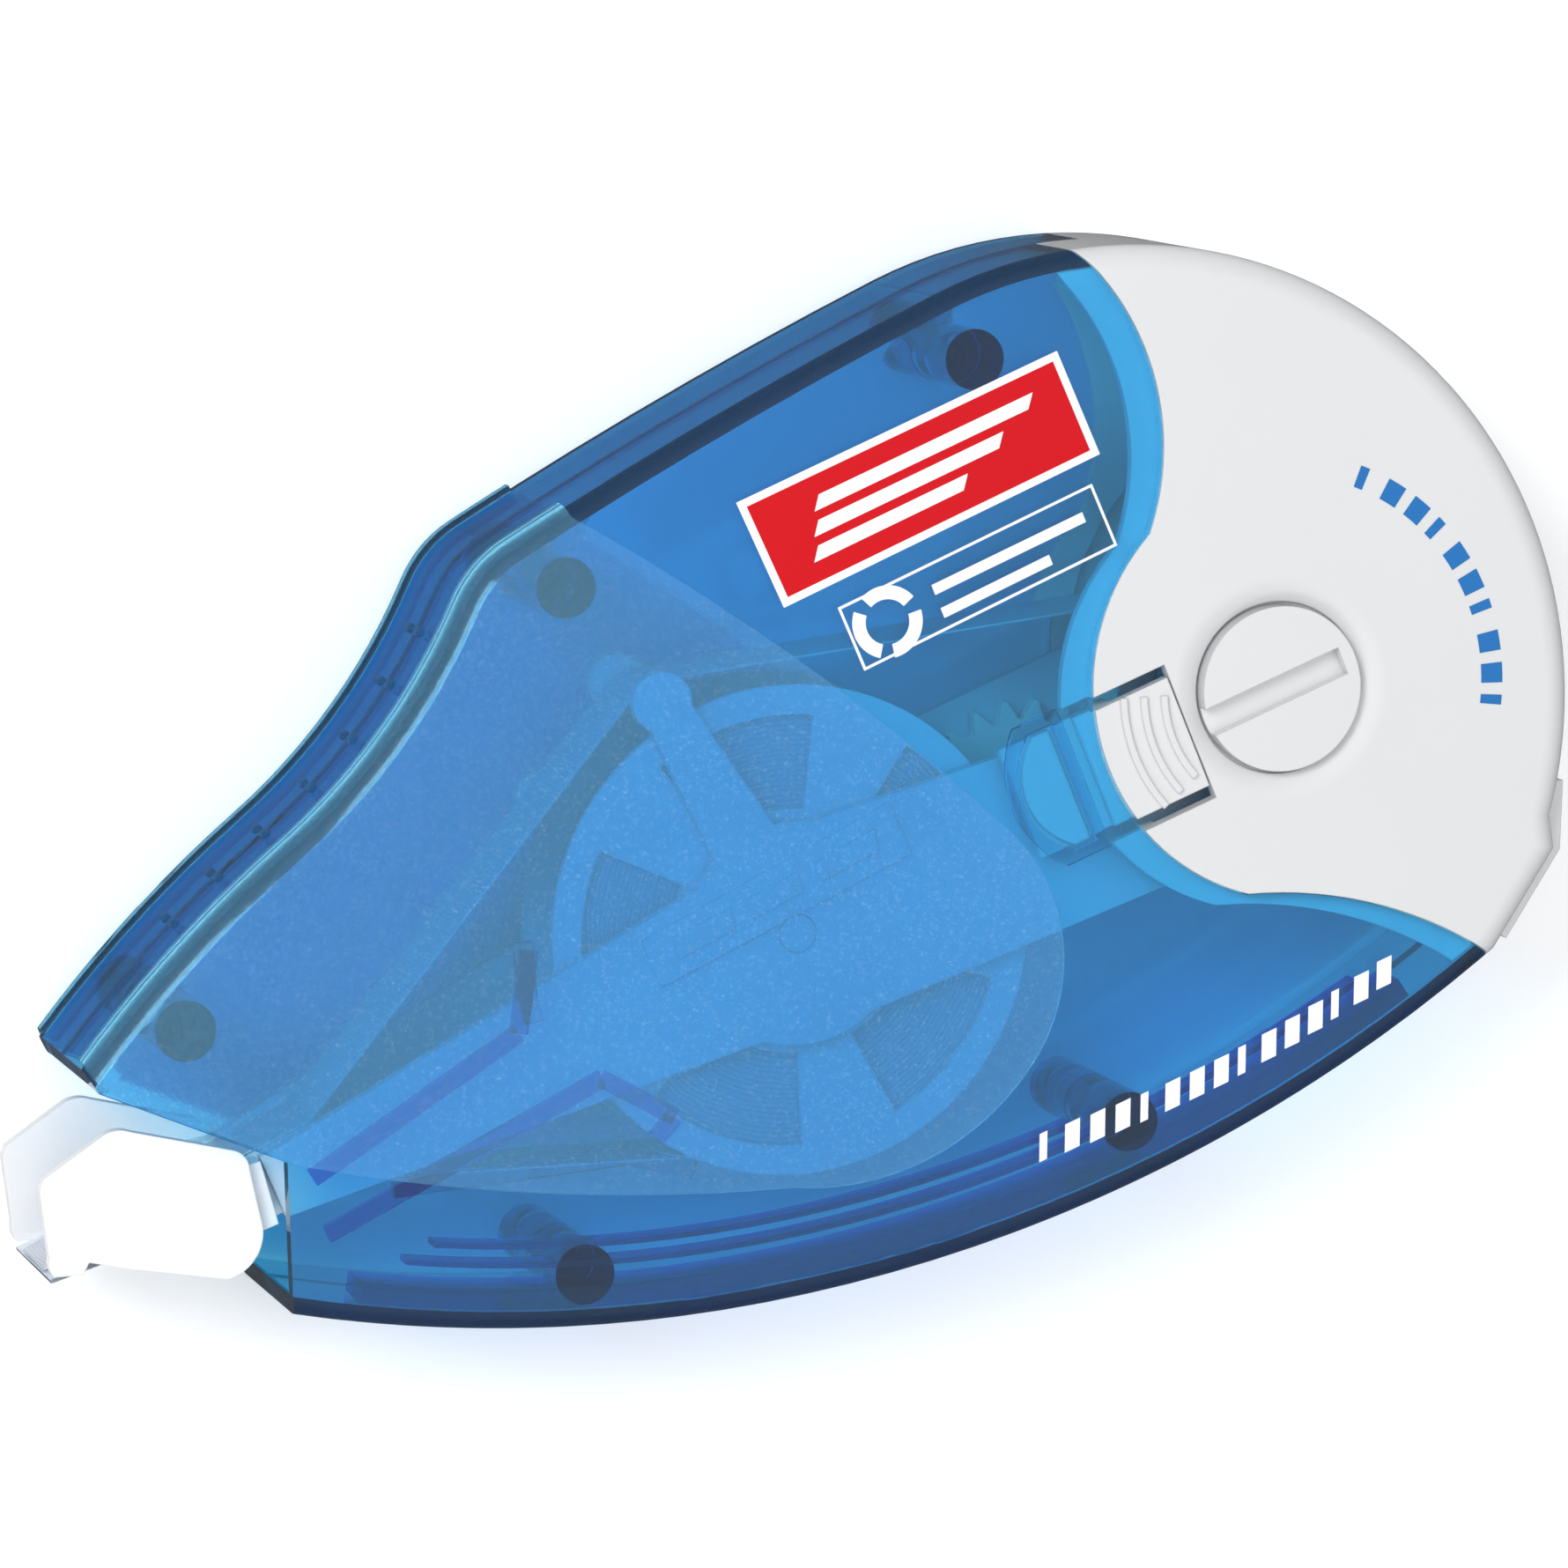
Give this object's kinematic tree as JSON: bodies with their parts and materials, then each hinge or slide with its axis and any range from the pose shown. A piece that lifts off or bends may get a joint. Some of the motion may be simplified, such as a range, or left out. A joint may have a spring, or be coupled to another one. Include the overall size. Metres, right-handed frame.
{
  "type": "correction tape roller",
  "caption": "Palm-size refillable correction tape roller: clear housing with frosted nose, pull-out rear cap with tape cassette, tension knob, latch tongue and winged tip.",
  "frame": {"origin": "under the supply spool's axis, on the flat far side that the roller rests on", "axes": "+X from the applicator tip to the rear cap, +Y up the side profile, +Z through the thickness towards the knob's side"},
  "size_m": [0.1338, 0.0727, 0.022],
  "materials": {
    "clear_blue": "clear blue, glossy",
    "frosted_blue": "frosted, fine sparkle texture",
    "gloss_white": "glossy",
    "cassette_white": "satin moulded",
    "satin_white": "satin",
    "blade_clear": "translucent, satin",
    "acetal": "satin",
    "clutch_rubber": "matt",
    "correction_tape": "matt film",
    "backing_ribbon": "thin glossy film"
  },
  "bodies": {
    "housing": {"near_shell": "clear_blue", "far_shell": "clear_blue", "near_grip_panel": "frosted_blue", "far_grip_panel": "frosted_blue"},
    "cassette": {"near_rear_cover": "gloss_white", "far_rear_cover": "gloss_white", "cassette_frame": "cassette_white", "cassette_arm": "cassette_white", "tip_holder": "satin_white", "near_tip_wing": "satin_white", "far_tip_wing": "satin_white", "applicator_blade": "blade_clear", "fresh_tape": "correction_tape", "used_ribbon": "backing_ribbon"},
    "latch": {"latch_button": "gloss_white"},
    "drive": {"supply_gear": "acetal"},
    "supply": {"supply_spool": "cassette_white", "supply_flange": "cassette_white", "clutch_ring": "clutch_rubber", "tape_roll": "correction_tape"},
    "idler": {"idler_gear": "acetal"},
    "take_up": {"take_up_gear": "acetal", "take_up_spool": "cassette_white", "used_ribbon_roll": "backing_ribbon", "tension_knob": "gloss_white"},
    "pawl": {"ratchet_pawl": "acetal"}
  },
  "joints": [
    {"name": "cap_slide", "type": "slide", "parent": "housing", "child": "cassette", "axis": [1, 0, 0], "range_m": [0, 0.1]},
    {"name": "drive_turn", "type": "hinge", "parent": "cassette", "child": "drive", "pos_m": [0, 0, 0.004], "axis": [0, 0, 1], "continuous": true},
    {"name": "clutch_slip", "type": "hinge", "parent": "drive", "child": "supply", "pos_m": [0, 0, 0.01], "axis": [0, 0, 1], "continuous": true},
    {"name": "idler_turn", "type": "hinge", "parent": "cassette", "child": "idler", "pos_m": [0.02396, -0.00135, 0.0042], "axis": [0, 0, 1], "continuous": true},
    {"name": "take_up_turn", "type": "hinge", "parent": "cassette", "child": "take_up", "pos_m": [0.0432, 0.0024, 0.01], "axis": [0, 0, 1], "continuous": true},
    {"name": "latch_press", "type": "hinge", "parent": "cassette", "child": "latch", "pos_m": [0.0345, 0.0024, 0.02075], "axis": [0, -1, 0], "range_deg": [0, 4], "stiffness_Nm_per_rad": 0.05},
    {"name": "pawl_lift", "type": "hinge", "parent": "cassette", "child": "pawl", "pos_m": [-0.01207, 0.01545, 0.0042], "axis": [0, 0, 1], "range_deg": [0, 8], "stiffness_Nm_per_rad": 0.002}
  ],
  "couplings": [
    {"joint": "idler_turn", "follows": "drive_turn", "ratio": -2},
    {"joint": "take_up_turn", "follows": "drive_turn", "ratio": 1.3793}
  ]
}
